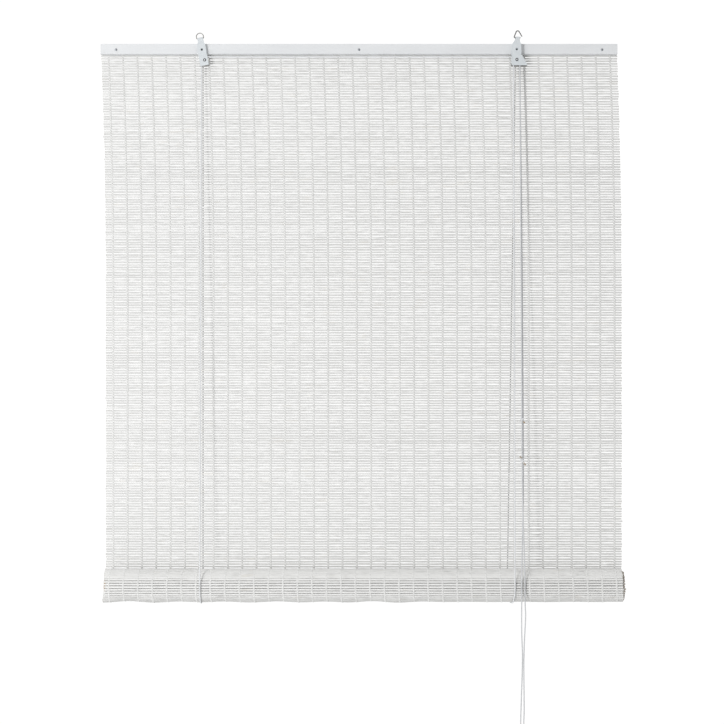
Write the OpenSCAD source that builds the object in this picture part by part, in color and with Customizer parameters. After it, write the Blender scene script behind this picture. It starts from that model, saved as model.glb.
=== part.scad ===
// Bamboo roll-up blind: a mat of painted bamboo slats hung from a batten
// headrail, with its lower end rolled up and held in two lift cords.
// Front faces -Y, the wall is behind at +Y, Z is up, sizes in millimetres.
// The origin is the middle of the headrail's back face.

/* [Headrail] */
// Width of the headrail and of the mat
blind_w = 1000; // [960:5:1040]
// Height of the headrail battens
rail_h = 20; // [18:0.5:22]
// Thickness of the front batten
front_t = 10; // [8:0.5:12]
// Thickness of the back batten
back_t = 5; // [5:0.25:6]
// Distance of the end nails from the middle of the headrail
nail_x = 470; // [440:5:475]
// Height of the nails from the middle of the headrail
nail_z = -1.6; // [-2:0.1:-1]

/* [Mat] */
// Width of one slat
slat_w = 3.7; // [3.3:0.1:4.1]
// Thickness of one slat
slat_t = 1.4; // [1.2:0.1:1.6]
// Distance from slat to slat
slat_pitch = 4.88; // [4.8:0.02:5.2]
// Distance between the warp threads
warp_pitch = 27.8; // [27.5:0.1:28.2]
// Width of a warp thread
thread_w = 1.5; // [1:0.1:2]
// Thickness of a warp thread
thread_t = 0.5; // [0.4:0.1:0.6]
// Sideways drift of the hanging mat
mat_shift = 9.5; // [0:0.5:10]

/* [Roll] */
// Height of the headrail's middle above the roll's axis
drop = 1035; // [1000:1:1035]
// Outer radius of the roll where the mat runs onto it
roll_r = 32; // [31:0.5:33]
// Distance from turn to turn in the roll
turn_pitch = 2.9; // [2.8:0.05:3]
// Number of turns in the roll
turns = 5; // [3:0.5:5]

/* [Blocks] */
// Thickness of the sheet steel
plate_t = 1; // [0.8:0.1:1]
// Middle of the left block's screw
left_x = -303.5; // [-320:0.5:-302]
// Lean of the left block, top to the left
left_tilt = 10; // [8:1:10]
// Middle of the right block's screw
right_x = 304.3; // [304:0.1:310]
// Height of the block screws from the middle of the headrail
screw_z = -2.4; // [-3:0.1:-2]
// Drop from the left block's screw to its pulley pin
left_pin_drop = 20.8; // [20.5:0.1:21]
// Distance of the left pulley pin to the right of its block's middle
left_pin_side = 1.9; // [1.5:0.1:2]
// Drop from the right block's screw to its pulley pin
right_pin_drop = 20.2; // [20:0.1:20.5]
// Pulley radius at the middle of the cord
pulley_r = 6.3; // [6.2:0.1:6.4]
// Width of a pulley
pulley_w = 4.3; // [4.1:0.1:4.3]
// Diameter of the hanging wire
wire_d = 1.9; // [1.6:0.1:1.9]
// Thickness of the right hanging hook's wire
hook_d = 2.2; // [1.9:0.1:2.2]

/* [Cords] */
// Diameter of the lift and pull cords
cord_d = 2.4; // [2:0.1:2.4]

/* [Hidden] */
$fn = 48;

white_wood = [0.90, 0.91, 0.93];
white_slat = [0.93, 0.93, 0.92];
grey_thread = [0.80, 0.81, 0.80];
zinc = [0.78, 0.80, 0.80];
white_cord = [0.94, 0.94, 0.95];
white_plastic = [0.88, 0.88, 0.86];
raw_wood = [0.78, 0.66, 0.46];

// Depths, all negative because the front faces -Y
play = 0.05;
y_back_batten = -back_t;                           // front face of the back batten
zone_t = slat_t + 2 * thread_t + 0.6;              // room for the mat between the battens
y_thread_back = y_back_batten - 0.25;              // back face of the back threads
y_slat_back = y_thread_back - thread_t - play;     // back face of the slats
y_thread_front = y_slat_back - slat_t - play;      // back face of the front threads
mat_t = slat_t + 2 * (thread_t + play);
y_front_batten = y_back_batten - zone_t;           // back face of the front batten
y_face = y_front_batten - front_t;                 // front face of the headrail
gap_1 = pulley_w + 0.6;                            // room for one pulley
gap_2 = 2 * pulley_w + 0.9;                        // room for two pulleys
y_in = y_face - plate_t;                           // inner face of both back cheeks
y_pul_rear = y_in - 0.3 - pulley_w / 2;            // left pulley and rear right pulley
y_pul_front = y_pul_rear - pulley_w - 0.3;         // front right pulley

// Roll axis and the slings under it
y_roll = y_thread_back - roll_r;
z_roll = -drop;
sling_r = roll_r + cord_d / 2 + 0.3;
x_roll = mat_shift - blind_w / 2;

// Pulley pins
xl = left_x + left_pin_side * cos(left_tilt) + left_pin_drop * sin(left_tilt);
zl = screw_z + left_pin_side * sin(left_tilt) - left_pin_drop * cos(left_tilt);
xr = right_x;
zr = screw_z - right_pin_drop;

// Lift cords at the roll and at their anchors
left_roll_x = -303;
right_front_x = 297;
right_back_x = 288;
left_anchor_x = -303;
right_anchor_x = 304;
y_eye = -back_t / 2;
z_eye = -rail_h / 2 - 3.2;

// Sideways drift of the mat at height z
function lean(z) = z > 0 ? 0 : let (u = min(1, -z / 480)) mat_shift * (1 - pow(1 - u, 2));

// ---------------------------------------------------------------- helpers

// Corner points of a polygon rounded with radius r
function unit(v) = v / norm(v);
function corner(a, b, c, r, n) =
  let (u = unit(a - b), w = unit(c - b), h = acos(u * w) / 2,
       d = r / tan(h), m = b + unit(u + w) * (r / sin(h)),
       p = b + u * d, q = b + w * d,
       a0 = atan2(p[1] - m[1], p[0] - m[0]), a1 = atan2(q[1] - m[1], q[0] - m[0]),
       da = a1 - a0 > 180 ? a1 - a0 - 360 : a1 - a0 < -180 ? a1 - a0 + 360 : a1 - a0)
  [for (i = [0:n]) m + r * [cos(a0 + da * i / n), sin(a0 + da * i / n)]];
function rounded(pts, r, n = 4) =
  [for (i = [0:len(pts) - 1]) each corner(pts[(i + len(pts) - 1) % len(pts)], pts[i],
                                          pts[(i + 1) % len(pts)], r, n)];

// A flat shape drawn in X and Z, from depth y0 back to depth y1
module sheet(y0, y1) { translate([0, y1, 0]) rotate([90, 0, 0]) linear_extrude(y1 - y0) children(); }

// A pin along Y from depth y0 to depth y1
module pin_y(x, z, y0, y1, d) { translate([x, y1, z]) rotate([90, 0, 0]) cylinder(h = y1 - y0, d = d); }

// A section drawn in Y and Z, run along X
module along_x(x0, x1) { translate([x0, 0, 0]) rotate([90, 0, 90]) linear_extrude(x1 - x0) children(); }

// A straight round rod from p to q
module rod(p, q, d) {
  v = q - p;
  translate(p) rotate([0, acos(v[2] / norm(v)), atan2(v[1], v[0])]) cylinder(h = norm(v), d = d);
}

// A round rod bent in the X-Z plane about (cx, cz), from angle a0 to a1
module bent(cx, y, cz, r, a0, a1, d) {
  translate([cx, y, cz]) rotate([90, 0, 0]) rotate([0, 0, a0])
    rotate_extrude(angle = a1 - a0) translate([r, 0]) circle(d = d);
}

// Points on a smooth curve through the route's points
function cat(p0, p1, p2, p3, t) =
  0.5 * ((2 * p1) + (p2 - p0) * t + (2 * p0 - 5 * p1 + 4 * p2 - p3) * t * t
         + (3 * p1 - p0 - 3 * p2 + p3) * t * t * t);
function smooth(route, k) =
  let (m = len(route) - 1)
  concat([for (i = [0:m - 1]) for (j = [0:k - 1])
    cat(route[max(0, i - 1)], route[i], route[i + 1], route[min(m, i + 2)], j / k)], [route[m]]);

// A hanging cord: eight-sided rings along the route
module hanging(route, k, d) {
  c = smooth(route, k);
  n = len(c);
  s = 8;
  polyhedron(
    points = [for (p = c) for (j = [0:s - 1]) p + d / 2 * [cos(360 * j / s), sin(360 * j / s), 0]],
    faces = concat(
      [[for (j = [0:s - 1]) j]],
      [for (i = [0:n - 2]) for (j = [0:s - 1])
        [i * s + j, (i + 1) * s + j, (i + 1) * s + (j + 1) % s, i * s + (j + 1) % s]],
      [[for (j = [s - 1:-1:0]) (n - 1) * s + j]]),
    convexity = 4);
}

// ---------------------------------------------------------------- headrail

module batten(y0, y1, r) {
  along_x(-blind_w / 2, blind_w / 2)
    polygon(rounded([[y0, -rail_h / 2], [y1, -rail_h / 2], [y1, rail_h / 2], [y0, rail_h / 2]], r));
}

module front_batten() {
  color(white_wood) difference() {
    batten(y_face, y_front_batten, 1.2);
    for (x = [-nail_x, 0, nail_x]) pin_y(x, nail_z, y_face - 1, 0, 2.1);
    for (x = [left_x, right_x]) pin_y(x, screw_z, y_face - 1, y_front_batten - 1, 2.3);
  }
}

module back_batten() {
  color(white_wood) difference() {
    batten(y_back_batten, 0, 0.8);
    for (x = [-nail_x, 0, nail_x]) pin_y(x, nail_z, y_back_batten - 1, -1, 2.1);
    for (x = [left_anchor_x, right_anchor_x])
      translate([x, y_eye, -rail_h / 2 - 1]) cylinder(h = 8, d = 1.5);
  }
}

module batten_nails() {
  color(zinc) for (x = [-nail_x, 0, nail_x]) translate([x, 0, nail_z]) {
    pin_y(0, 0, y_face, -1.2, 2);
    translate([0, y_face, 0]) rotate([90, 0, 0])
      rotate_extrude() polygon([[0, 0], [2.4, 0], [2.4, 0.4], [2, 0.9], [1.2, 1.25], [0, 1.4]]);
  }
}

// ---------------------------------------------------------------- mat

z_first = 1.5 * slat_pitch;
rows = floor((z_first + drop - slat_w / 2 - 0.2) / slat_pitch) + 1;

module slat(z) {
  translate([lean(z) - blind_w / 2, y_slat_back - slat_t, z - slat_w / 2]) cube([blind_w, slat_t, slat_w]);
}

module slat_panel() {
  color(white_slat) for (i = [0:rows - 1]) {
    z = z_first - i * slat_pitch;
    if (abs(z) < slat_pitch) difference() {
      slat(z);
      for (x = [-nail_x, 0, nail_x]) pin_y(x, nail_z, y_front_batten, y_back_batten, 2.3);
    }
    else slat(z);
  }
}

warps = round(blind_w / warp_pitch);
thread_z = [rail_h / 2 - 1, 0, -60, -120, -180, -240, -310, -390, -480, 0.2 - drop];

module thread(x, y) {
  n = len(thread_z) - 1;
  sheet(y - thread_t, y) polygon(concat(
    [for (z = thread_z) [x + lean(z) - thread_w / 2, z]],
    [for (i = [n:-1:0]) [x + lean(thread_z[i]) + thread_w / 2, thread_z[i]]]));
}

module warp_threads() {
  color(grey_thread) for (k = [0:warps - 1]) {
    x = (k - (warps - 1) / 2) * warp_pitch;
    thread(x, y_thread_back);
    thread(x, y_thread_front);
  }
}

// The rolled part of the mat: one strip wound inwards from the back, under
// the roll, up its front and over its top
function wound(a, inset) =
  let (r = roll_r - turn_pitch * a / 360 - inset) [y_roll + r * cos(a), z_roll - r * sin(a)];

module mat_roll() {
  color(white_slat) along_x(x_roll, x_roll + blind_w)
    polygon(concat([for (a = [0:9:360 * turns]) wound(a, 0)],
                   [for (a = [360 * turns:-9:0]) wound(a, mat_t)]));
}

// Round rod at the mat's lower end, which the mat is wound on
core_r = roll_r - turn_pitch * turns - mat_t;

module bottom_bar() {
  color(raw_wood) translate([x_roll + 2, y_roll, z_roll]) rotate([0, 90, 0])
    cylinder(h = blind_w - 4, r = core_r - 0.2);
}

// ---------------------------------------------------------------- pulley blocks

// Both blocks are one strip of sheet folded over the hanging wire: a back
// cheek on the headrail and a front cheek that covers the pulleys.
fold_l = 20.6;
fold_r = 19.2;

left_edge = [[-4.8, fold_l], [-5, 15], [-7.4, 9], [-8.3, -8], [-8.3, -31.3], [8.3, -31.3], [8.3, 9.5], [6, 14], [6, fold_l]];
right_edge = [[-2.3, fold_r], [-4.5, 16.5], [-8.9, 10], [-10, -31.4], [20.6, -31.4], [20, -29.8],
              [8.8, -9.4], [8.5, 10], [6, 14.5], [5.8, fold_r]];

module fold(x0, x1, z, gap) {
  ro = gap / 2 + plate_t;
  y = y_in - gap / 2;
  along_x(x0, x1) intersection() {
    translate([y, z]) difference() { circle(r = ro); circle(r = gap / 2); }
    translate([y - ro - 1, z]) square([2 * ro + 2, ro + 1]);
  }
}

module block(edge, fold_z, gap, x0, x1, pin) {
  sheet(y_in, y_face) difference() {
    polygon(edge);
    circle(d = 2.4);
    translate(pin) circle(d = 4.04);
    children();
  }
  sheet(y_in - gap - plate_t, y_in - gap) difference() {
    polygon(edge);
    circle(d = 4.6);
    translate(pin) circle(d = 4.04);
    children(0);
  }
  fold(x0, x1, fold_z, gap);
}

module left_place() { translate([left_x, 0, screw_z]) rotate([0, -left_tilt, 0]) children(); }
module right_place() { translate([right_x, 0, screw_z]) children(); }

module left_bracket() {
  color(zinc) left_place() union()
    block(left_edge, fold_l, gap_1, -4.8, 6, [left_pin_side, -left_pin_drop]) translate([8.7, -8.6]) circle(r = 1.3);
}

// Pivot of the cord lock inside the right block's skirt
lock_x = 12.4;
lock_z = -25.2;

module right_bracket() {
  color(zinc) right_place() union() {
    block(right_edge, fold_r, gap_2, -2.3, 5.8, [0, -right_pin_drop]) {
      translate([9.3, -9.6]) circle(r = 1.3);
      translate([lock_x, lock_z]) circle(d = 3.04);
    }
    // sloping side wall of the skirt
    sheet(y_in - gap_2, y_in - 0.4)
      polygon([[11.3, -14], [19.9, -29.7], [19.02, -30.18], [10.42, -14.48]]);
  }
}

module screw(x) {
  translate([x, 0, screw_z]) difference() {
    union() {
      pin_y(0, 0, y_in, y_front_batten - 1.2, 2.2);
      translate([0, y_in, 0]) rotate([90, 0, 0])
        rotate_extrude() polygon([[0, 0], [2.1, 0], [2.1, 0.7], [1.6, 1.2], [0, 1.4]]);
    }
    for (a = [0, 90]) translate([0, y_in - 1, 0]) rotate([0, a, 0]) cube([2.4, 1, 0.5], center = true);
  }
}

module bracket_screws() { color(zinc) for (x = [left_x, right_x]) screw(x); }

// Rivet that the pulleys turn on: its end stands up inside a rolled rim
module pulley_pin(x, z, gap) {
  y1 = y_in - gap - plate_t;
  color(zinc) translate([x, 0, z]) union() {
    pin_y(0, 0, y1, y_face, 4);
    translate([0, y1, 0]) rotate([90, 0, 0])
      rotate_extrude() polygon([[0, 0], [3, 0], [3, 0.4], [2.7, 0.8], [2.2, 0.8], [2, 0.2], [1.6, 0.2], [1.4, 0.8], [0, 1]]);
    pin_y(0, 0, y_face, y_face + 0.6, 5.6);
  }
}

module left_pulley_pin() pulley_pin(xl, zl, gap_1);
module right_pulley_pin() pulley_pin(xr, zr, gap_2);

module pulley(x, y, z) {
  rim = pulley_r + 1.7;
  g = cord_d / 2 + 0.3;
  color(white_plastic) translate([x, y, z]) rotate([90, 0, 0]) rotate_extrude() difference() {
    translate([2.05, -pulley_w / 2]) square([rim - 2.05, pulley_w]);
    translate([pulley_r, 0]) circle(r = g);
    translate([pulley_r, -g]) square([4, 2 * g]);
  }
}

module left_pulley() pulley(xl, y_pul_rear, zl);
module right_pulley_rear() pulley(xr, y_pul_rear, zr);
module right_pulley_front() pulley(xr, y_pul_front, zr);

// Toothed cam that grips both pull cords against the pulleys' cord
module lock_cam() {
  y0 = y_in - gap_2 + 0.35;
  y1 = y_in - 0.35;
  color(zinc) right_place() translate([lock_x, 0, lock_z]) sheet(y0, y1) difference() {
    union() {
      circle(r = 2.6);
      polygon(concat([[0, 2.6]],
        [for (i = [0:6]) let (a = 160 + 8 * i, r = i % 2 == 0 ? 4.4 : 3.8) r * [cos(a), sin(a)]], [[0, -2.6]]));
    }
    circle(d = 3.1);
  }
}

module lock_pin() {
  color(zinc) right_place() union() {
    pin_y(lock_x, lock_z, y_in - gap_2, y_face, 3);
    pin_y(lock_x, lock_z, y_face, y_face + 0.6, 4.4);
  }
}

// Closed wire ring in the left block's fold
module left_hanging_ring() {
  y = y_in - gap_1 / 2;
  z = fold_l + gap_1 / 2 - wire_d / 2 - 0.1;
  w = 6.9;
  c = 1.6;
  top = 25.5;
  color(zinc) left_place() translate([0.6, 0, 0]) union() {
    rod([c - w, y, z], [w - c, y, z], wire_d);
    bent(w - c, y, z + c, c, 270, 360, wire_d);
    bent(c - w, y, z + c, c, 180, 270, wire_d);
    rod([w, y, z + c], [w, y, top], wire_d);
    rod([-w, y, z + c], [-w, y, top], wire_d);
    bent(0, y, top, w, 0, 180, wire_d);
  }
}

// Points on a bend about (cx, cz): x, z and the angle seen from its middle
function turned(cx, cz, r, a0, a1, n) =
  [for (i = [0:n]) let (a = a0 + (a1 - a0) * i / n) [cx + r * cos(a), cz + r * sin(a), a]];

// A bent wire through such points: sixteen-sided rings across the wire
module wire(way, y, d) {
  s = 16;
  n = len(way);
  polyhedron(
    points = [for (w = way) for (j = [0:s - 1]) let (u = d / 2 * cos(360 * j / s))
      [w[0] + u * cos(w[2]), y - d / 2 * sin(360 * j / s), w[1] + u * sin(w[2])]],
    faces = concat(
      [[for (j = [0:s - 1]) j]],
      [for (i = [0:n - 2]) for (j = [0:s - 1])
        [i * s + j, (i + 1) * s + j, (i + 1) * s + (j + 1) % s, i * s + (j + 1) % s]],
      [[for (j = [s - 1:-1:0]) (n - 1) * s + j]]),
    convexity = 6);
}

// Open three-cornered wire hook in the right block's fold: a leg that ends
// free, rounded top, second leg, corner and the bar through the fold
module right_hanging_ring() {
  z = fold_r + gap_2 / 2 - hook_d / 2 - 0.1;
  cx = 2.1;
  cz = 33;
  r = 3.2;
  left_a = 22;
  right_a = 30;
  rb = 1.9;
  run = (cz + r * sin(left_a) - z - rb - rb * sin(left_a)) / cos(left_a);
  corner_x = cx - (r - rb) * cos(left_a) - run * sin(left_a);
  free_l = (cz + r * sin(right_a) - 25) / cos(right_a);
  color(zinc) right_place() wire(concat(
    [[cx + r * cos(right_a) + free_l * sin(right_a), 25, right_a]],
    turned(cx, cz, r, right_a, 180 - left_a, 12),
    turned(corner_x, z + rb, rb, 180 - left_a, 270, 8),
    [[7.4, z, 270]]), y_in - gap_2 / 2, hook_d);
}

// ---------------------------------------------------------------- lift cords

module anchor_eyes() {
  color(zinc) for (x = [left_anchor_x, right_anchor_x]) union() {
    translate([x, y_eye, -rail_h / 2 - 0.5]) cylinder(h = 6.5, d = 1.4);
    translate([x, y_eye, z_eye]) rotate([90, 0, 0]) rotate_extrude() translate([2.5, 0]) circle(d = 1.4);
  }
}

z_knot = z_eye - 5.3;

module anchor_knots() {
  color(white_cord) for (x = [left_anchor_x, right_anchor_x]) translate([x, -2.9, z_knot]) sphere(r = 1.9);
}

y_run = y_roll + sling_r;
module back_run(xa, xb) {
  color(white_cord) rod([xa, y_run, z_knot - 2.1], [xb, y_run, z_roll + 0.15], cord_d);
}
module left_cord_back_run() back_run(left_anchor_x, left_roll_x);
module right_cord_back_run() back_run(right_anchor_x, right_back_x);

// Height angle at which a front run meets the roll
function meet(y, z) =
  let (a = y - y_roll, b = z - z_roll) 90 - acos(sling_r / sqrt(a * a + b * b)) + atan2(a, b);

module front_run(x0, y0, z0, x1) {
  f = meet(y0, z0);
  color(white_cord) rod([x0, y0, z0 - 0.1],
    [x1, y_roll - sling_r * cos(f), z_roll + sling_r * sin(f) + 0.2], cord_d);
}
module left_cord_front_run() front_run(xl - pulley_r, y_pul_rear, zl, left_roll_x);
module right_cord_front_run() front_run(xr - pulley_r, y_pul_front, zr, right_front_x);

// Half loop under the roll from its back (x0) to its front (x1)
module sling(x0, x1, f) {
  s = asin((x1 - x0) / 2 / sling_r);
  color(white_cord) translate([(x0 + x1) / 2, y_roll, z_roll]) rotate([0, 0, s]) rotate([90, 0, 90])
    rotate([0, 0, -180 - f]) rotate_extrude(angle = 180 + f) translate([sling_r / cos(s), 0]) circle(d = cord_d);
}
module left_cord_sling() sling(left_roll_x, left_roll_x, meet(y_pul_rear, zl));
module right_cord_sling() sling(right_back_x, right_front_x, meet(y_pul_front, zr));

// Left lift cord: over its pulley, across under the headrail, over the rear
// right pulley
module left_cord_cross_run() {
  color(white_cord) union() {
    bent(xl, y_pul_rear, zl, pulley_r, 90, 180, cord_d);
    rod([xl, y_pul_rear, zl + pulley_r], [xr, y_pul_rear, zl + pulley_r], cord_d);
    bent(xr, y_pul_rear, zl, pulley_r, 0, 90, cord_d);
  }
}

module right_cord_over_pulley() {
  color(white_cord) bent(xr, y_pul_front, zr, pulley_r, 0, 180, cord_d);
}

// ---------------------------------------------------------------- pull cords

xs = xr + pulley_r;
left_upper = [[xs, y_pul_rear, zl - 0.1], [xs, y_pul_rear - 0.6, -40], [312.2, -31, -250], [313.6, -42, -480],
              [314, -53.2, -720], [313.4, -60.5, -860], [310.4, -68, -980], [309.5, -70.8, -1035]];
left_lower = [[309.5, -70.8, -1035], [309.5, -71, -1065], [309.5, -71, -1120], [311, -71, -1170],
              [309, -71, -1240], [307.5, -71, -1295], [308.5, -71, -1350], [310.5, -71, -1394]];
right_upper = [[xs, y_pul_front, zr - 0.1], [xs, y_pul_front - 0.6, -40], [310.8, -36, -250], [311.1, -47, -480],
               [311.2, -59, -720], [311.6, -66, -860], [314.8, -69.5, -980], [316, -70.8, -1035]];
right_lower = [[316, -70.8, -1035], [316, -71, -1065], [317, -71, -1090], [315, -71, -1130],
               [313.5, -71, -1180], [313.3, -80, -1262], [312.2, -83.2, -1290], [312.8, -79, -1330],
               [313.5, -71, -1394]];

module pull_cord_left_upper() { color(white_cord) hanging(left_upper, 3, cord_d); }
module pull_cord_right_upper() { color(white_cord) hanging(right_upper, 3, cord_d); }
module pull_cord_left_lower() { color(white_cord) hanging(left_lower, 2, cord_d); }
module pull_cord_right_lower() { color(white_cord) hanging(right_lower, 2, cord_d); }

// A cord tied round the front pull cord, with a short tail
module tied(x, y, z, a) {
  color(white_cord) translate([x, y, z]) union() {
    rotate_extrude() translate([1.5 + cord_d / 2, 0]) circle(d = cord_d);
    translate([1.5 + cord_d / 2, 0, 0]) rotate([0, 90 + a, 0]) cylinder(h = 7, d = cord_d);
  }
}
module upper_knot() tied(311.2, -58.7, -715, 50);
module lower_knot() tied(311.4, -62.8, -793, 35);

// Knot that joins the ends of both pull cords
module end_knot() {
  color(white_cord) translate([312, -71, -1400]) union() {
    sphere(r = 5);
    rod([-1.4, 0, -4], [-2.4, 0, -16], cord_d);
    rod([1.4, 0, -4], [2.6, 0, -18], cord_d);
  }
}

// ---------------------------------------------------------------- nodes

front_batten();
back_batten();
batten_nails();
slat_panel();
warp_threads();
mat_roll();
bottom_bar();
left_bracket();
right_bracket();
bracket_screws();
left_pulley_pin();
right_pulley_pin();
left_pulley();
right_pulley_front();
right_pulley_rear();
left_hanging_ring();
right_hanging_ring();
lock_cam();
lock_pin();
anchor_eyes();
anchor_knots();
left_cord_back_run();
left_cord_sling();
left_cord_front_run();
left_cord_cross_run();
right_cord_back_run();
right_cord_sling();
right_cord_front_run();
right_cord_over_pulley();
pull_cord_left_upper();
pull_cord_right_upper();
pull_cord_left_lower();
pull_cord_right_lower();
upper_knot();
lower_knot();
end_knot();
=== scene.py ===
import math

import bpy
import numpy as np
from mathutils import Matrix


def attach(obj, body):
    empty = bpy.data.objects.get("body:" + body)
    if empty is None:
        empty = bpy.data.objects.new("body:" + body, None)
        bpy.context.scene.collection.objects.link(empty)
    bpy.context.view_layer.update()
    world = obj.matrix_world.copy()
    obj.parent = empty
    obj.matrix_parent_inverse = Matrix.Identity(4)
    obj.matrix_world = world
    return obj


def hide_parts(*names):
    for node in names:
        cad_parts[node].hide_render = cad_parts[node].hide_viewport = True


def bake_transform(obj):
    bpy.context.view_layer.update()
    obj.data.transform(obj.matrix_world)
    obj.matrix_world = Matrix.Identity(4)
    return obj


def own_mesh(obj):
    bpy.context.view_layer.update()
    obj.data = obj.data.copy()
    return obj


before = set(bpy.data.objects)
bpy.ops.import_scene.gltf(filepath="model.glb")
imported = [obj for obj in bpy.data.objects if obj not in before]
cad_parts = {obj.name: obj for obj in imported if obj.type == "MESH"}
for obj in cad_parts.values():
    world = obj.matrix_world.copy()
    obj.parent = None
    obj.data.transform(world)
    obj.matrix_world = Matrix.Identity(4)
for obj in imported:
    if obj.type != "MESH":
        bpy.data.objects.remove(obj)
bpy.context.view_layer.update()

rng = np.random.default_rng(11)
MM = 0.001
scene = bpy.context.scene

# ------------------------------------------------------------------ camera
cam = bpy.data.objects.new("camera", bpy.data.cameras.new("camera"))
cam.location = (0.0058, -3.212, -0.6056)
cam.rotation_euler = (math.radians(90), 0, 0)
cam.data.sensor_width = 36
cam.data.lens = 18 * 3.2 / 0.7015
scene.collection.objects.link(cam)
scene.camera = cam

# ------------------------------------------------------------------ sizes, as in the CAD model, in mm
Z0, PITCH, ROWS = 7.32, 4.88, 214
Y_MAT = -6.5
WARPS, WARP_PITCH = 36, 27.8
Y_ROLL, Z_ROLL, R0, TURN, R_MID = -37.25, -1035.0, 32.0, 2.9, 1.25
SHIFT = 9.5
LEAN = math.radians(10)
XL = -303.5 + 1.9 * math.cos(LEAN) + 20.8 * math.sin(LEAN)
ZL = -2.4 + 1.9 * math.sin(LEAN) - 20.8 * math.cos(LEAN)
XR, ZR = 304.3, -22.6
Y_PR, Y_PF = -21.45, -26.05
R_PUL, R_CORD, SLING = 6.3, 1.2, 33.5


def lean(z):
    u = np.clip(-np.asarray(z, float) / 480, 0, 1)
    return SHIFT * (1 - (1 - u) ** 2)


# ------------------------------------------------------------------ meshes
def mesh(name, verts, faces, material, smooth=True, uv=None, **values):
    """An object from points in mm and lists of faces, each an array of one polygon size."""
    me = bpy.data.meshes.new(name)
    verts = np.asarray(verts, np.float32) * MM
    faces = [np.asarray(f, np.int32) for f in faces if len(f)]
    me.vertices.add(len(verts))
    me.vertices.foreach_set("co", verts.ravel())
    loops = np.concatenate([f.ravel() for f in faces])
    counts = np.concatenate([np.full(len(f), f.shape[1], np.int32) for f in faces])
    me.loops.add(len(loops))
    me.loops.foreach_set("vertex_index", loops)
    me.polygons.add(len(counts))
    me.polygons.foreach_set("loop_start", np.concatenate([[0], np.cumsum(counts)[:-1]]).astype(np.int32))
    me.update(calc_edges=True)
    me.polygons.foreach_set("use_smooth", np.full(len(counts), smooth))
    for key, v in values.items():
        a = me.attributes.new(key, "FLOAT", "POINT")
        a.data.foreach_set("value", np.asarray(v, np.float32))
    if uv is not None:
        layer = me.uv_layers.new(name="UVMap")
        layer.data.foreach_set("uv", np.asarray(uv, np.float32)[loops].ravel())
    me.validate()
    o = bpy.data.objects.new(name, me)
    scene.collection.objects.link(o)
    me.materials.append(material)
    return o


def grid(rings, sides):
    """Quads between rings of so many points, and the two end faces."""
    i, j = np.meshgrid(np.arange(rings - 1), np.arange(sides), indexing="ij")
    k = (j + 1) % sides
    q = np.stack([i * sides + j, (i + 1) * sides + j, (i + 1) * sides + k, i * sides + k], -1).reshape(-1, 4)
    caps = np.stack([np.arange(sides), (rings - 1) * sides + np.arange(sides)[::-1]])
    return q, caps


def spline(route, k=10):
    """Smooth points through a route, as in the CAD model but finer."""
    p = np.asarray(route, float)
    out = []
    for i in range(len(p) - 1):
        a, b, c, d = p[max(0, i - 1)], p[i], p[i + 1], p[min(len(p) - 1, i + 2)]
        for t in np.arange(k) / k:
            out.append(0.5 * (2 * b + (c - a) * t + (2 * a - 5 * b + 4 * c - d) * t * t + (3 * b - a - 3 * c + d) * t ** 3))
    return np.array(out + [p[-1]])


def frames(path, closed=False):
    """Two directions across the path at each point, carried along it without twist."""
    t = (np.roll(path, -1, 0) - np.roll(path, 1, 0)) if closed else np.gradient(path, axis=0)
    t /= np.linalg.norm(t, axis=1)[:, None]
    ref = np.array([0, 1.0, 0]) if abs(t[0][1]) < 0.9 else np.array([1.0, 0, 0])
    n = np.cross(t[0], np.cross(ref, t[0]))
    ns = []
    for v in t:
        n = n - v * (n @ v)
        n /= np.linalg.norm(n)
        ns.append(n)
    ns = np.array(ns)
    return ns, np.cross(t, ns)


def tube(path, r, sides=10, closed=False, ends=True):
    """Points, faces and UVs of a round tube along a path; r may change along it."""
    path = np.asarray(path, float)
    r = np.broadcast_to(np.asarray(r, float), (len(path),))
    if ends and not closed:  # rounded ends
        t0, t1 = path[0] - path[1], path[-1] - path[-2]
        t0, t1 = t0 / np.linalg.norm(t0), t1 / np.linalg.norm(t1)
        path = np.vstack([path[0] + t0 * r[0] * 0.45, path[0] + t0 * r[0] * 0.3, path, path[-1] + t1 * r[-1] * 0.3,
                          path[-1] + t1 * r[-1] * 0.45])
        r = np.concatenate([[r[0] * 0.5, r[0] * 0.86], r, [r[-1] * 0.86, r[-1] * 0.5]])
    n, b = frames(path, closed)
    a = np.arange(sides) / sides * 2 * np.pi
    v = path[:, None] + r[:, None, None] * (n[:, None] * np.cos(a)[None, :, None] + b[:, None] * np.sin(a)[None, :, None])
    s = np.concatenate([[0], np.cumsum(np.linalg.norm(np.diff(path, axis=0), axis=1))])
    uv = np.stack(np.broadcast_arrays(a[None] / (2 * np.pi), s[:, None] * 0.01), -1).reshape(-1, 2)
    q, caps = grid(len(path), sides)
    faces = [q, caps]
    if closed:
        i = np.arange(sides)
        k = (i + 1) % sides
        m = (len(path) - 1) * sides
        faces = [np.vstack([q, np.stack([m + i, i, k, m + k], -1)])]
    return v.reshape(-1, 3), faces, uv


def cord(name, path, body, replaced, r=R_CORD, step=6.0, burn=None, **kw):
    path = np.asarray(path, float)
    s = np.concatenate([[0], np.cumsum(np.linalg.norm(np.diff(path, axis=0), axis=1))])
    t = np.linspace(0, s[-1], max(3, int(s[-1] / step) + 1))
    path = np.stack([np.interp(t, s, path[:, i]) for i in range(3)], -1)
    v, f, uv = tube(path, r, **kw)
    o = mesh(name, v, f, M["cord"], uv=uv)
    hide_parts(*replaced)
    if body:
        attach(o, body)
    return o, path


# ------------------------------------------------------------------ materials
def material(name):
    m = bpy.data.materials.new(name)
    m.use_nodes = True
    nt = m.node_tree
    bsdf = next(n for n in nt.nodes if n.type == "BSDF_PRINCIPLED")
    return m, nt, bsdf


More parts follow.
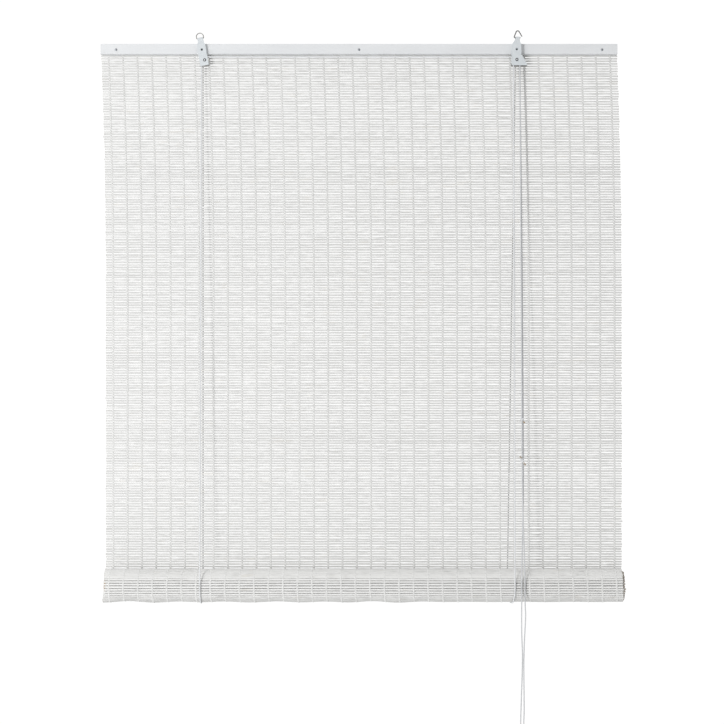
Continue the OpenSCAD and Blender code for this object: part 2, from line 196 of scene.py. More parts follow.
def node(nt, kind, values=None, **props):
    n = nt.nodes.new(kind)
    for k, v in props.items():
        setattr(n, k, v)
    for k, v in (values or {}).items():
        if hasattr(v, "is_output"):
            nt.links.new(v, n.inputs[k])
        else:
            n.inputs[k].default_value = v
    return n


def coords(nt, scale, kind="Object"):
    c = node(nt, "ShaderNodeTexCoord")
    return node(nt, "ShaderNodeMapping", {"Vector": c.outputs[kind], "Scale": scale}).outputs["Vector"]


def noise(nt, scale, size=1.0, detail=4.0, rough=0.55):
    return node(nt, "ShaderNodeTexNoise",
                {"Vector": coords(nt, scale), "Scale": size, "Detail": detail, "Roughness": rough}).outputs["Fac"]


def ramp(nt, fac, stops):
    n = node(nt, "ShaderNodeValToRGB", {"Fac": fac})
    e = n.color_ramp.elements
    while len(e) < len(stops):
        e.new(0.5)
    for x, (p, c) in zip(e, stops):
        x.position = p
        x.color = (*c, 1)
    return n.outputs["Color"]


def mix(nt, fac, a, b, blend="MIX"):
    return node(nt, "ShaderNodeMix", {0: fac, 6: a, 7: b}, data_type="RGBA", blend_type=blend).outputs[2]


def math_node(nt, op, a, b=0.0):
    return node(nt, "ShaderNodeMath", {0: a, 1: b}, operation=op).outputs[0]


def bump(nt, bsdf, height, strength, distance):
    n = node(nt, "ShaderNodeBump", {"Height": height, "Strength": strength, "Distance": distance})
    nt.links.new(n.outputs["Normal"], bsdf.inputs["Normal"])


def set_rough(nt, bsdf, fac, low, high):
    n = node(nt, "ShaderNodeMapRange", {"Value": fac, "To Min": low, "To Max": high})
    nt.links.new(n.outputs["Result"], bsdf.inputs["Roughness"])


M = {}


def painted_wood():
    m, nt, b = material("painted_batten")
    grain = noise(nt, (6, 260, 260), 1.0, 5)
    blotch = noise(nt, (9, 30, 30), 1.0, 3)
    base = ramp(nt, blotch, [(0.3, (0.735, 0.75, 0.765)), (0.7, (0.77, 0.785, 0.80))])
    col = mix(nt, math_node(nt, "MULTIPLY", grain, 0.16), base, (0.60, 0.61, 0.62, 1))
    nt.links.new(col, b.inputs["Base Color"])
    set_rough(nt, b, grain, 0.38, 0.58)
    bump(nt, b, grain, 0.25, 0.0004)
    return m


def painted_bamboo():
    m, nt, b = material("painted_bamboo")
    # The tone attribute holds each slat's own random tone, and also painted light: the roll's outer turn lighter, its
    # underside darker, and the top rows of the mat lighter.
    tone = node(nt, "ShaderNodeAttribute", attribute_name="tone").outputs["Fac"]
    bare = node(nt, "ShaderNodeAttribute", attribute_name="bare").outputs["Fac"]
    base = ramp(nt, tone, [(0.0, (0.585, 0.585, 0.575)), (0.5, (0.65, 0.65, 0.64)), (1.0, (0.79, 0.79, 0.78))])
    fibre = noise(nt, (10, 1400, 1400), 1.0, 4, 0.6)
    patch = noise(nt, (22, 90, 90), 1.0, 3)
    col = mix(nt, math_node(nt, "MULTIPLY", fibre, 0.18), base, (0.56, 0.55, 0.52, 1))
    col = mix(nt, math_node(nt, "MULTIPLY", math_node(nt, "GREATER_THAN", patch, 0.66), 0.12), col, (0.66, 0.58, 0.44, 1))
    wood = ramp(nt, fibre, [(0.3, (0.10, 0.07, 0.04)), (0.7, (0.33, 0.25, 0.16))])
    col = mix(nt, bare, col, wood)
    nt.links.new(col, b.inputs["Base Color"])
    set_rough(nt, b, fibre, 0.42, 0.66)
    bump(nt, b, fibre, 0.3, 0.0003)
    return m


def thread_mat():
    m, nt, b = material("warp_thread")
    fuzz = noise(nt, (1500, 1500, 1500), 1.0, 3)
    tone = node(nt, "ShaderNodeAttribute", attribute_name="tone").outputs["Fac"]
    base = ramp(nt, tone, [(0.0, (0.71, 0.71, 0.70)), (1.0, (0.79, 0.79, 0.78))])
    col = mix(nt, math_node(nt, "MULTIPLY", fuzz, 0.14), base, (0.68, 0.68, 0.66, 1))
    nt.links.new(col, b.inputs["Base Color"])
    twist = node(nt, "ShaderNodeTexWave", {"Vector": coords(nt, (700, 700, 420)), "Scale": 1.0, "Distortion": 1.5},
                 wave_type="BANDS", bands_direction="DIAGONAL").outputs["Fac"]
    bump(nt, b, math_node(nt, "ADD", twist, fuzz), 0.25, 0.00012)
    b.inputs["Roughness"].default_value = 0.85
    b.inputs["Sheen Weight"].default_value = 0.2
    return m


def bare_wood():
    m, nt, b = material("raw_wood")
    grain = noise(nt, (5, 180, 180), 1.0, 6, 0.6)
    col = ramp(nt, grain, [(0.3, (0.34, 0.22, 0.11)), (0.55, (0.52, 0.37, 0.21)), (0.75, (0.60, 0.46, 0.28))])
    nt.links.new(col, b.inputs["Base Color"])
    set_rough(nt, b, grain, 0.5, 0.75)
    bump(nt, b, grain, 0.4, 0.0003)
    return m


def painted_sheet():
    m, nt, b = material("painted_sheet")
    cloud = noise(nt, (160, 160, 160), 1.0, 4)
    fine = noise(nt, (2600, 2600, 2600), 1.0, 2)
    base = ramp(nt, cloud, [(0.3, (0.63, 0.665, 0.69)), (0.7, (0.69, 0.725, 0.745))])
    col = mix(nt, math_node(nt, "MULTIPLY", fine, 0.12), base, (0.56, 0.60, 0.62, 1))
    # Painted shade: the front face of the back cheek below the pulleys, which shows in the bracket's bottom opening, is
    # coloured near black where shade falls inside the bracket.
    place = node(nt, "ShaderNodeSeparateXYZ", {0: node(nt, "ShaderNodeTexCoord").outputs["Object"]})
    back = math_node(nt, "GREATER_THAN", place.outputs[1], -0.0193)
    back = math_node(nt, "MULTIPLY", back, math_node(nt, "LESS_THAN", place.outputs[2], -0.0285))
    col = mix(nt, back, col, ramp(nt, cloud, [(0.3, (0.07, 0.062, 0.055)), (0.7, (0.15, 0.13, 0.11))]))
    nt.links.new(col, b.inputs["Base Color"])
    b.inputs["Metallic"].default_value = 0.1
    set_rough(nt, b, cloud, 0.48, 0.62)
    bump(nt, b, fine, 0.12, 0.0001)
    return m


def zinc_steel():
    m, nt, b = material("zinc_steel")
    cloud = noise(nt, (420, 420, 420), 1.0, 5)
    col = ramp(nt, cloud, [(0.3, (0.24, 0.255, 0.275)), (0.7, (0.40, 0.42, 0.445))])
    nt.links.new(col, b.inputs["Base Color"])
    b.inputs["Metallic"].default_value = 0.85
    set_rough(nt, b, cloud, 0.26, 0.48)
    bump(nt, b, cloud, 0.1, 0.0001)
    return m


def steel(name, low, high, metallic):
    m, nt, b = material(name)
    cloud = noise(nt, (500, 500, 500), 1.0, 5)
    col = ramp(nt, cloud, [(0.3, low), (0.7, high)])
    nt.links.new(col, b.inputs["Base Color"])
    b.inputs["Metallic"].default_value = metallic
    set_rough(nt, b, cloud, 0.36, 0.55)
    bump(nt, b, cloud, 0.1, 0.0001)
    return m


def painted_light_rivet(name, x, z):
    """Steel with a painted highlight in the middle of a rivet's head and a painted shadow in the groove round it."""
    m, nt, b = material(name)
    c = node(nt, "ShaderNodeTexCoord")
    p = node(nt, "ShaderNodeMapping", {"Vector": c.outputs["Object"], "Location": (-x / 3, 0, -z / 3), "Scale": (1000 / 3, 0, 1000 / 3)})
    far = node(nt, "ShaderNodeVectorMath", {0: p.outputs["Vector"]}, operation="LENGTH").outputs["Value"]
    col = ramp(nt, far, [(0.40, (0.80, 0.81, 0.82)), (0.50, (0.035, 0.036, 0.04)), (0.88, (0.07, 0.073, 0.08)), (0.98, (0.30, 0.31, 0.325))])
    nt.links.new(col, b.inputs["Base Color"])
    cloud = noise(nt, (420, 420, 420), 1.0, 4)
    b.inputs["Metallic"].default_value = 0.3
    set_rough(nt, b, cloud, 0.35, 0.5)
    bump(nt, b, cloud, 0.1, 0.0001)
    return m


def white_plastic():
    m, nt, b = material("white_plastic")
    cloud = noise(nt, (300, 300, 300), 1.0, 3)
    col = ramp(nt, cloud, [(0.3, (0.72, 0.72, 0.69)), (0.7, (0.80, 0.80, 0.77))])
    nt.links.new(col, b.inputs["Base Color"])
    set_rough(nt, b, cloud, 0.4, 0.55)
    bump(nt, b, cloud, 0.08, 0.0001)
    return m


def cord_mat(name="white_cord", tint=1.0):
    m, nt, b = material(name)
    uv = node(nt, "ShaderNodeSeparateXYZ", {0: node(nt, "ShaderNodeTexCoord").outputs["UV"]})
    u = math_node(nt, "MULTIPLY", uv.outputs[0], 2 * math.pi * 4)
    v = math_node(nt, "MULTIPLY", uv.outputs[1], 2 * math.pi * 30)
    one = math_node(nt, "SINE", math_node(nt, "ADD", u, v))
    two = math_node(nt, "SINE", math_node(nt, "SUBTRACT", u, v))
    braid = math_node(nt, "ADD", math_node(nt, "MULTIPLY", math_node(nt, "MAXIMUM", one, two), 0.5), 0.5)
    fuzz = noise(nt, (1800, 1800, 1800), 1.0, 3)
    base = ramp(nt, braid, [(0.25, (0.62 * tint, 0.635 * tint, 0.655 * tint)), (0.8, (0.79 * tint, 0.80 * tint, 0.815 * tint))])
    col = mix(nt, math_node(nt, "MULTIPLY", fuzz, 0.12), base, (0.62 * tint, 0.63 * tint, 0.65 * tint, 1))
    burn = node(nt, "ShaderNodeAttribute", attribute_name="burn").outputs["Fac"]
    melted = ramp(nt, noise(nt, (900, 900, 900), 1.0, 3), [(0.35, (0.075, 0.045, 0.02)), (0.6, (0.42, 0.27, 0.10))])
    col = mix(nt, burn, col, melted)
    nt.links.new(col, b.inputs["Base Color"])
    bump(nt, b, braid, 0.5, 0.0003)
    b.inputs["Roughness"].default_value = 0.62
    b.inputs["Sheen Weight"].default_value = 0.15
    return m


M["batten"], M["slat"], M["thread"], M["raw"] = painted_wood(), painted_bamboo(), thread_mat(), bare_wood()
M["sheet"], M["zinc"], M["plastic"], M["cord"] = painted_sheet(), zinc_steel(), white_plastic(), cord_mat()
M["wire"] = steel("dark_wire", (0.12, 0.117, 0.115), (0.28, 0.275, 0.27), 0.6)
# Painted light: the left hanging ring gets a lighter copy of the same wire steel as the right one.
M["wire_l"] = steel("left_wire_painted_light", (0.27, 0.262, 0.25), (0.50, 0.49, 0.475), 0.6)
M["screw"] = steel("dark_screw", (0.03, 0.032, 0.036), (0.09, 0.095, 0.10), 0.5)
M["rivet_l"], M["rivet_r"] = painted_light_rivet("left_rivet_painted_light", XL, ZL), painted_light_rivet("right_rivet_painted_light", XR, ZR)
# Painted shade: a darker copy of the white cord for the lift cords' back runs, which hang behind the mat.
M["shaded_cord"] = cord_mat("back_cord_painted_shade", 0.42)
M["pull_cord"] = cord_mat("grey_cord", 0.80)

# ------------------------------------------------------------------ pull cords
XS = XR + R_PUL
left_upper = spline([(XS, Y_PR, ZL - 0.1), (XS, Y_PR - 0.6, -40), (310.8, -23.1, -65), (311.25, -25.7, -125), (312.2, -31, -250),
                     (313.6, -42, -480), (314, -53.2, -720),
                     (313.4, -60.5, -860), (310.4, -68, -980), (309.5, -70.8, -1035)])
left_lower = spline([(309.5, -70.8, -1035), (309.5, -71, -1065), (309.5, -71, -1120), (311, -71, -1170), (309, -71, -1240),
                     (307.5, -71, -1295), (308.5, -71, -1350), (310.5, -71, -1394)])
right_upper = spline([(XS, Y_PF, ZR - 0.1), (XS, Y_PF - 0.6, -40), (310.6, -27.8, -65), (310.7, -30.4, -125), (310.8, -36, -250),
                      (311.1, -47, -480), (311.2, -59, -720),
                      (311.6, -66, -860), (314.8, -69.5, -980), (316, -70.8, -1035)])
right_lower = spline([(316, -70.8, -1035), (316, -71, -1065), (317, -71, -1090), (315, -71, -1130), (313.5, -71, -1180),
                      (313.3, -80, -1262), (312.2, -83.2, -1290), (312.8, -79, -1330), (313.5, -71, -1394)])


def tip(n, a=0, z=0):
    """How burnt each ring of a cord with n rings is, with a burnt rings at its start and z at its end."""
    t = np.zeros(n)
    if a:
        t[:a] = np.linspace(1, 0.25, a)
    if z:
        t[-z:] = np.linspace(0.25, 1, z)
    return t


def knot(name, paths, body, node_name, radius=R_CORD):
    """Short lengths of cord in one piece. Each path comes with how many rings are burnt at each end."""
    V, Q, U, B, n = [], {}, [], [], 0
    for path, a, z in paths:
        p = np.asarray(path, float)
        k = len(p)
        r = np.full(k, radius)
        if a:
            r[:a] = radius * np.linspace(1.12, 1.0, a)
        if z:
            r[-z:] = radius * np.linspace(1.0, 1.12, z)
        v, f, uv = tube(p, r, sides=12)
        b = np.concatenate([[1.0 if a else 0] * 2, tip(k, a, z), [1.0 if z else 0] * 2])
        V.append(v)
        U.append(uv)
        B.append(np.repeat(b, 12))
        for x in f:
            Q.setdefault(x.shape[1], []).append(x + n)
        n += len(v)
    o = mesh(name, np.vstack(V), [np.vstack(x) for x in Q.values()], M["cord"], uv=np.vstack(U), burn=np.concatenate(B))
    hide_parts(node_name)
    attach(o, body)
    return o


def wrap(x, y, z, turns, start, rise, r=2.5):
    a = np.linspace(0, turns * 2 * np.pi, int(turns * 18)) + start
    return np.stack([x + r * np.cos(a), y + r * np.sin(a), z + np.linspace(rise / 2, -rise / 2, len(a))], -1)


def tied(x, y, z, start, turns, head, tail):
    """A cord wrapped round the strand at (x, y, z), with a tail above it and one below it."""
    w = wrap(x, y, z, turns, start, 2.6 * turns)
    a = spline([np.add(w[0], head), np.add(w[0], np.multiply(head, 0.45)) + (0, -0.3, 0.2), w[0]], 6)[:-1]
    b = spline([w[-1], np.add(w[-1], np.multiply(tail, 0.45)) + (0, -0.3, 0.1), np.add(w[-1], tail)], 6)[1:]
    return np.vstack([a, w, b])


# the front pull cord's knots, with tails whose tips are melted
ku = tied(311.2, -58.7, -715.0, math.radians(200), 1.75, (1.2, -0.8, 4.0), (6.2, -1.2, -4.2))
kl = tied(311.4, -62.8, -793.0, math.radians(20), 1.75, (-6.6, -1.6, 4.4), (4.6, -2.0, -6.4))
upper_knot = knot("upper_knot_cord", [(ku, 0, 10)], "pull_ends", "upper_knot")
lower_knot = knot("lower_knot_cord", [(kl, 9, 10)], "pull_ends", "lower_knot")

# the end knot: both cords tied together in one overhand knot, with two melted tails
t = np.linspace(0, 2 * np.pi, 73)[:-1]
overhand = np.stack([np.sin(t) + 2 * np.sin(2 * t), -np.sin(3 * t) * 1.15, np.cos(t) - 2 * np.cos(2 * t)], -1) * (1.15, 1.25, 1.3)
loop = np.vstack([overhand, overhand[:2]]) + (312, -71, -1400)
tails = [spline([(310.8, -71, -1402.5), (310.0, -71.2, -1408), (309.4, -71, -1416)], 8),
         spline([(313.2, -71, -1402.5), (314.2, -70.8, -1409), (314.8, -71, -1417.5)], 8)]
necks = [spline([(310.5, -71, -1392), (310.9, -71, -1395), (311.6, -71.3, -1399)], 6),
         spline([(313.5, -71, -1392), (313.1, -71, -1395), (312.4, -70.7, -1399)], 6)]
end_knot = knot("end_knot_cord", [(loop, 0, 0)] + [(x, 0, 4) for x in tails] + [(x, 0, 0) for x in necks],
                "pull_ends", "end_knot", 1.35)

strands = {}
for name, path in (("left", left_upper), ("right", right_upper)):
    o, p = cord(f"pull_cord_{name}_upper_part", path, "headrail", [f"pull_cord_{name}_upper"], ends=False)
    o.data.materials[0] = M["pull_cord"]
    strands[name + "_upper"] = (o, p)
for name, path in (("left", left_lower), ("right", right_lower)):
    o, p = cord(f"pull_cord_{name}_lower_part", path, None, [f"pull_cord_{name}_lower"], ends=False)
    o.data.materials[0] = M["pull_cord"]
    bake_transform(o)
    strands[name + "_lower"] = (o, p)
for key, far, extra in (("left_upper", "object", []), ("right_upper", "object", [upper_knot, lower_knot]),
                        ("left_lower", "knot", []), ("right_lower", "knot", [end_knot])):
    o, p = strands[key]
    if key.endswith("upper"):
        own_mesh(o)

# ------------------------------------------------------------------ lift cords


def arc(cx, cz, y, a0, a1, n=24, r=R_PUL):
    a = np.radians(np.linspace(a0, a1, n))
    return np.stack([cx + r * np.cos(a), np.full(n, y), cz + r * np.sin(a)], -1)


def shorten(o):
    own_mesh(o)


cord("left_cord_across", np.vstack([arc(XL, ZL, Y_PR, 180, 90), arc(XR, ZL, Y_PR, 90, 0)]), "headrail",
     ["left_cord_cross_run"], step=1.2, ends=False)
cord("right_cord_over", arc(XR, ZR, Y_PF, 180, 0), "headrail", ["right_cord_over_pulley"], step=1.0, ends=False)


def meet(y, z):
    a, b = y - Y_ROLL, z - Z_ROLL
    return math.degrees(math.pi / 2 - math.acos(SLING / math.hypot(a, b)) + math.atan2(a, b))


for name, x0, y0, z0, xf, xb, xa in (("left", XL - R_PUL, Y_PR, ZL, -303, -303, -303),
                                     ("right", XR - R_PUL, Y_PF, ZR, 297, 288, 304)):
    f = math.radians(meet(y0, z0))
    end = (xf, Y_ROLL - SLING * math.cos(f), Z_ROLL + SLING * math.sin(f) + 0.2)
    o, p = cord(f"{name}_cord_front", [(x0, y0, z0), end], "headrail", [f"{name}_cord_front_run"], ends=False)
    shorten(o)
    a = np.linspace(0, math.pi + f, 60)
    x = xb + (xf - xb) * (1 - np.cos(np.clip(a, 0, math.pi))) / 2
    cord(f"{name}_cord_under_roll", np.stack([x, Y_ROLL + SLING * np.cos(a), Z_ROLL - SLING * np.sin(a)], -1),
         "lift_slings", [f"{name}_cord_sling"], step=1.5, ends=False)
    back = [(xa, Y_ROLL + SLING, -20.6), (xb, Y_ROLL + SLING, Z_ROLL + 0.15)]
    o, p = cord(f"{name}_cord_back", back, "headrail", [f"{name}_cord_back_run"], ends=False)
    # painted shade: the back run gets the darkened cord
    o.data.materials[0] = M["shaded_cord"]
    shorten(o)

# the knots under the anchor eyes: each cord goes up through its eye and is tied to itself below it
eye_knots = []
for xa in (-303.0, 304.0):
    w = wrap(xa, -2.9, -18.6, 1.6, 0.4, 3.6, 1.35)
    loop = spline([w[0], (xa + 1.0, -2.6, -15.0), (xa + 0.3, -1.7, -13.0), (xa - 0.2, -3.4, -12.4), (xa - 1.1, -3.6, -15.2), w[-1]], 7)
    eye_knots += [(w, 0, 0), (loop, 0, 0), (spline([w[-1], (xa + 2.2, -3.4, -21.5), (xa + 2.9, -3.1, -25.5)], 6), 0, 3)]
knot("anchor_knot_cords", eye_knots, "headrail", "anchor_knots", 0.85)

# ------------------------------------------------------------------ mat
# s runs down the mat from its first slat, v towards its back; past the hanging part it goes on round the roll
TURNS = 5
S_ROLL = Z0 - Z_ROLL
angle = np.linspace(0, TURNS * 2 * np.pi, 4000)
radius = R0 - R_MID - TURN * angle / (2 * np.pi)
along = np.concatenate([[0], np.cumsum(0.5 * (radius[1:] + radius[:-1]) * np.diff(angle))])


def on_mat(x, s, v):
    """Points in mm for places on the mat."""
    x, s, v = np.broadcast_arrays(np.asarray(x, float), np.asarray(s, float), np.asarray(v, float))
    a = np.interp(s - S_ROLL, along, angle)
    low, high = np.clip(np.sin(a), 0, 1) ** 2, np.clip(-np.sin(a), 0, 1) ** 2
    wave = 1.25 * np.cos((x - 19.3) * 2 * np.pi / 94) * (0.8 + 0.2 * np.cos(x * 2 * np.pi / 430)) + 0.35 * np.cos((x - 297) * 2 * np.pi / 150)
    wide = 0.5 * np.sin(x * 2 * np.pi / 430 + 0.6) + 0.35 * np.sin(x * 2 * np.pi / 170 + 2.0)
    r = R0 - R_MID - TURN * a / (2 * np.pi) + v - low * (wave * np.interp(x, [60, 200], [1, 0.3]) - 1.0) + high * (1.0 - 0.5 * wide) + 1.4 * np.clip(-np.sin(a - 0.45), 0, 1) ** 2 * (a < 2 * np.pi)
    flat = s <= S_ROLL
    x = x - 0.005 * (x + 485) * np.clip(2 * a / np.pi - 1, 0, 1)  # drawn together as it was wound
    z = np.where(flat, Z0 - s, Z_ROLL - r * np.sin(a))
    y = np.where(flat, Y_MAT + v, Y_ROLL + r * np.cos(a))
    return np.stack([x + lean(np.where(flat, z, Z_ROLL)), y, z], -1)


warp_x = (np.arange(WARPS) - (WARPS - 1) / 2) * WARP_PITCH
total = ROWS + int(along[-1] / PITCH) - 1
# places along a slat: at each warp, twice between warps, and near the ends
third = np.concatenate([warp_x[:-1] + WARP_PITCH / 3, warp_x[:-1] + 2 * WARP_PITCH / 3])
inner = np.sort(np.concatenate([warp_x, third]))
at_warp = np.isin(inner, warp_x)

width = np.clip(rng.normal(3.22, 0.14, total), 2.8, 3.7)
thick = np.clip(rng.normal(1.36, 0.07, total), 1.15, 1.5)
tone = np.clip(rng.normal(0.5, 0.10, total), 0, 1)
end_l, end_r = rng.normal(0, 0.5, total), rng.normal(0, 0.5, total)
centre = np.arange(total) * PITCH

# where each slat's middle runs: the threads hold it at the warps, and it bows between them
bay = rng.normal(0, 0.20, (total, WARPS - 1))
held = np.cumsum(rng.normal(0, 0.07, (total, WARPS)), 1)
held -= held.mean(1)[:, None]
held = np.clip(held, -0.18, 0.18) + rng.normal(0, 0.05, (total, 1))
mid = np.zeros((total, len(inner)))
mid[:, at_warp] = held
for j, off in ((0, 1 / 3), (1, 2 / 3)):
    where = np.flatnonzero(at_warp)[:-1] + 1 + j
    mid[:, where] = held[:, :-1] * (1 - off) + held[:, 1:] * off + bay * rng.uniform(0.75, 1.1, bay.shape)
mid[centre > S_ROLL] *= 0.45
half = width[:, None] / 2 * (1 + rng.normal(0, 0.035, (total, len(inner))))
# the swelling at a bamboo node, every 300 mm or so
node_at = np.zeros((total, len(inner)), bool)
for i in range(total):
    p = rng.uniform(-480, -200)
    while p < 490:
        node_at[i, np.argmin(np.abs(inner - p))] = True
        p += rng.uniform(240, 390)
half = np.where(node_at & ~at_warp, half + 0.16, half)
# the slats stand further apart on the front of the roll than under it and on its top
half *= np.interp(np.where(centre > S_ROLL, np.interp(centre - S_ROLL, along, angle), 0.0), [0, 0.3, 2.4, 2.7, 3.5, 3.8, 6.2, 6.4, 99], [1, 1.42, 1.42, 1.04, 1.04, 1.38, 1.38, 1, 1])[:, None]
# Painted shade: slats on the underside of the roll's outer turn are darker.
tone -= np.interp(np.where(centre > S_ROLL, np.interp(centre - S_ROLL, along, angle), 0.0), [0, 0.3, 1.9, 2.3, 2.8], [0, 1, 1, 0.5, 0])
# Painted light: the top rows of the hanging mat are lighter, fading out further down.
tone[:ROWS] += 0.2 * np.clip(1.3 - np.arange(ROWS) / 80, 0, 1)
body = thick[:, None] / 2 + np.where(node_at, 0.10, 0.0)
shade = rng.normal(0, 0.16, (total, len(inner)))
line = centre[:, None] + mid
for i in range(1, total):  # slats don't lie in each other
    line[i] = np.maximum(line[i], line[i - 1] + half[i - 1] + half[i] + 0.06)
    line[i] = np.minimum(line[i], centre[i] + 1.1)


# where the slats end: the outer turn is a little short, and the ends of the inner turns show on the right
wound = np.where(centre > S_ROLL, np.interp(centre - S_ROLL, along, angle) / (2 * np.pi), 0.0)
end_l += np.interp(wound, [0, 0.25, 0.5, 0.75, 1, 5], [0, -1.3, 4.9, 3.2, 5.5, 6.5])
end_r += np.interp(wound, [0, 0.25, 0.5, 0.75, 0.97, 1.0, 5], [0, -2.9, -1.0, -0.7, -0.7, 3.2, 2.6])


def slats(name, rows, body_name, stations=None, bare_r=0.0, face=-1, painted_light_lift=0.0):
    """The slats of those rows as one piece. Their rounded face is the mat's front, or its back if face is 1."""
    keep = np.arange(len(inner)) if stations is None else stations
    V, T, B = [], [], []
    for i in rows:
        x0, x1 = -500 + end_l[i], 500 + end_r[i]
        xs = np.concatenate([[x0, x0 + 0.5], inner[keep], [x1 - 0.5 - bare_r, x1]])
        e = lambda a: np.concatenate([[a[keep[0]]] * 2, a[keep], [a[keep[-1]]] * 2])
        ss, hw, ht = e(line[i]), e(half[i]).copy(), e(body[i]).copy()
        hw[[0, -1]] *= 0.94
        ht[[0, -1]] *= 0.92
        b = hw - 0.34
        sec_s = np.stack([hw, b, -b, -hw, -hw, hw], -1) * -face
        sec_v = np.stack([0.6 * ht, ht, ht, 0.6 * ht, -ht, -ht], -1) * face
        V.append(on_mat(xs[:, None], ss[:, None] + sec_s, sec_v))
        T.append(np.repeat(np.clip(tone[i] + painted_light_lift + e(shade[i]), 0, 1), 6))
        bare = np.zeros((len(xs), 6))
        bare[[0, -1]] = 1
        B.append(bare.ravel())
    n = len(xs)
    q, caps = grid(n, 6)
    base = (np.arange(len(rows)) * n * 6)[:, None, None]
    quads = (q[None] + base).reshape(-1, 4)
    ends = (caps[None] + base).reshape(-1, 6)
    o = mesh(name, np.concatenate([v.reshape(-1, 3) for v in V]), [quads, ends], M["slat"], smooth=False,
             tone=np.concatenate(T), bare=np.concatenate(B))
    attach(o, body_name)
    return o


def threads(name, rows, body_name):
    """Both threads of every warp over those rows: each goes over every second slat and they cross between slats."""
    rows = list(rows)
    V, Q, C, T, n = [], [], [], [], 0
    tones = np.random.default_rng(5).uniform(0, 1, (WARPS, 2))
    at = np.flatnonzero(at_warp)
    for k in range(WARPS):
        ii = np.array(rows)
        s = line[ii, at[k]]
        hw, ht = half[ii, at[k]], body[ii, at[k]]
        gap = np.empty(len(ii))
        nxt = line[np.minimum(ii + 1, total - 1), at[k]]
        gap[:] = np.where(ii + 1 < total, (s + nxt) / 2, s + PITCH / 2)
        for which in (0, 1):
            side = np.where((ii + which) % 2 == 0, -1.0, 1.0)
            sway = np.where((ii + which) % 2 == 0, 0.85, -0.85)
            ps = np.stack([s - 0.62 * hw, s + 0.62 * hw, gap], -1).ravel()
            pv = np.stack([side * (ht + 0.29), side * (ht + 0.29), 0 * ht], -1).ravel()
            px = np.stack([0.2 * side, -0.2 * side, sway], -1).ravel() + warp_x[k]
            ps = np.concatenate([[ps[0] - (0.42 * hw[0] + 0.3)], ps])
            pv = np.concatenate([[0.0], pv])
            px = np.concatenate([[warp_x[k] - sway[0]], px])
            w = np.full(len(ps), 1.35)
            w[0::3] = 1.0
            h = np.full(len(ps), 0.29)
            h[0::3] = 0.42
            dx = np.stack([w, 0 * w, -w, 0 * w], -1)
            dv = np.stack([0 * h, h, 0 * h, -h], -1)
            V.append(on_mat(px[:, None] + dx, ps[:, None] + 0 * dx, pv[:, None] + dv).reshape(-1, 3))
            q, caps = grid(len(ps), 4)
            Q += [q + n, caps + n]
            T.append(np.full(len(ps) * 4, tones[k, which]))
            n += len(ps) * 4
    o = mesh(name, np.vstack(V), [np.vstack(Q)], M["thread"], smooth=False, tone=np.concatenate(T))
    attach(o, body_name)
    return o


bands = np.array_split(np.arange(ROWS), 4)
for b, rows in enumerate(bands):
    a = slats(f"mat_slats_{b + 1}", rows, "headrail")
    w = threads(f"mat_threads_{b + 1}", rows, "headrail")
    for o in (a, w):
        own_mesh(o)
    if b == 0:
        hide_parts("slat_panel")
        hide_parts("warp_threads")

# the roll: its outer turn in full, the inner ones plainer
turn_of = np.floor(np.interp(centre - S_ROLL, along, angle) / (2 * np.pi)).astype(int)
outer = np.flatnonzero((np.arange(total) >= ROWS) & (turn_of == 0))
second = np.flatnonzero((np.arange(total) >= ROWS) & (turn_of == 1))
inside = np.flatnonzero((np.arange(total) >= ROWS) & (turn_of >= 2))
# Painted light: the slats of the outer turn are made lighter than the same painted slats of the hanging mat.
roll = slats("roll_slats_outer", outer, "roll", face=1, painted_light_lift=0.58)
slats("roll_slats_second", second, "roll", stations=np.flatnonzero(at_warp), bare_r=4.5, face=1)
slats("roll_slats_inner", inside, "roll", stations=np.flatnonzero(at_warp), bare_r=2.5, face=1)
threads("roll_threads", np.concatenate([outer, second[:6]]), "roll")
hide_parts("mat_roll")

# ------------------------------------------------------------------ CAD pieces that keep their shape
looks = {"front_batten": "batten", "back_batten": "batten", "batten_nails": "zinc", "bottom_bar": "raw", "left_bracket": "sheet",
         "right_bracket": "sheet", "bracket_screws": "screw", "left_pulley_pin": "rivet_l", "right_pulley_pin": "rivet_r",
         "left_pulley": "plastic", "right_pulley_front": "plastic", "right_pulley_rear": "plastic", "left_hanging_ring": "wire_l",
         "right_hanging_ring": "wire", "lock_cam": "zinc", "lock_pin": "zinc", "anchor_eyes": "zinc"}
for name, key in looks.items():
    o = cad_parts[name]
    o.data.materials.clear()
    o.data.materials.append(M[key])
for name in ("left_bracket", "right_bracket"):
    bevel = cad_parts[name].modifiers.new("edges", "BEVEL")
    bevel.width, bevel.segments, bevel.limit_method, bevel.angle_limit = 0.00018, 2, "ANGLE", math.radians(50)

# ------------------------------------------------------------------ studio


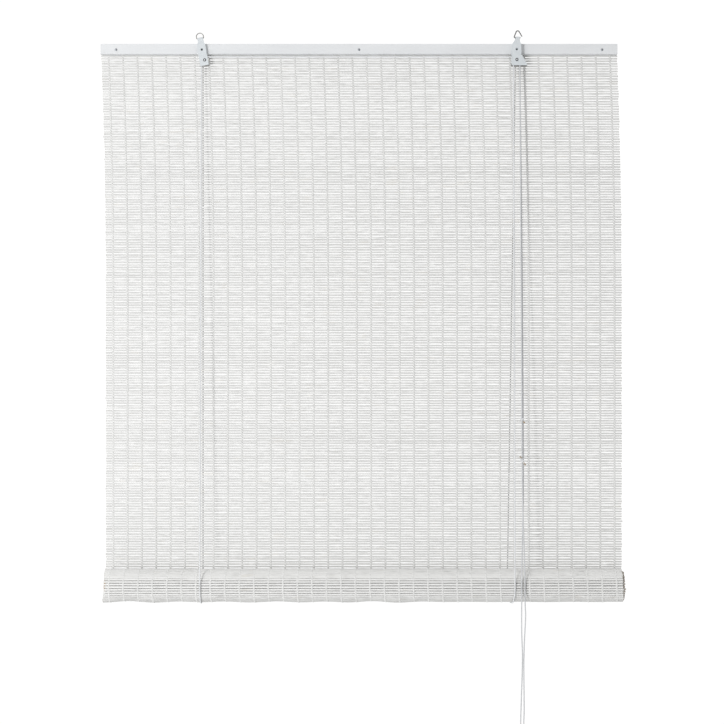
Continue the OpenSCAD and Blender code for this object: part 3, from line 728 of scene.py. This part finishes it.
def stage_mat(name, colour, glow=0.0):
    m, nt, b = material(name)
    cloud = noise(nt, (3, 3, 3), 1.0, 2)
    c = ramp(nt, cloud, [(0.3, tuple(x * 0.985 for x in colour)), (0.7, colour)])
    nt.links.new(c, b.inputs["Base Color"])
    b.inputs["Roughness"].default_value = 0.8
    if glow:
        b.inputs["Emission Color"].default_value = (1, 1, 1, 1)
        b.inputs["Emission Strength"].default_value = glow
    return m


def plane(name, corners, m):
    o = mesh(name, np.array(corners, float) * 1000, [np.array([[0, 1, 2, 3]])], m, smooth=False)
    return o


plane("floor", [(-6, -7, -3.25), (6, -7, -3.25), (6, 5.9, -3.25), (-6, 5.9, -3.25)], stage_mat("pale_floor", (0.88, 0.88, 0.88)))
plane("backdrop", [(-7, 6, -3.6), (7, 6, -3.6), (7, 6, 4), (-7, 6, 4)], stage_mat("white_backdrop", (0.02, 0.02, 0.02), 1.0))

world = bpy.data.worlds.new("studio")
world.use_nodes = True
bg = next(n for n in world.node_tree.nodes if n.type == "BACKGROUND")
bg.inputs["Color"].default_value = (1, 1, 1, 1)
up = node(world.node_tree, "ShaderNodeSeparateXYZ", {0: node(world.node_tree, "ShaderNodeTexCoord").outputs["Generated"]})
sky = node(world.node_tree, "ShaderNodeMapRange", {"Value": up.outputs[2], "From Min": 0.0, "From Max": 1.0, "To Min": 0.28, "To Max": 1.08})
world.node_tree.links.new(sky.outputs["Result"], bg.inputs["Strength"])
scene.world = world

def soft_box(name, x, y, size, energy):
    lamp = bpy.data.objects.new(name, bpy.data.lights.new(name, "AREA"))
    lamp.data.shape = "RECTANGLE"
    lamp.data.size, lamp.data.size_y = size, 2.2
    lamp.data.energy = energy
    lamp.location = (x, y, -0.65)
    lamp.rotation_euler = (math.radians(90), 0, math.atan2(x, -y))
    scene.collection.objects.link(lamp)


soft_box("key", -2.5, -4.7, 0.5, 95)
soft_box("fill", -1.60, -2.2, 1.2, 15)

scene.view_settings.view_transform = "Standard"
scene.view_settings.look = "None"
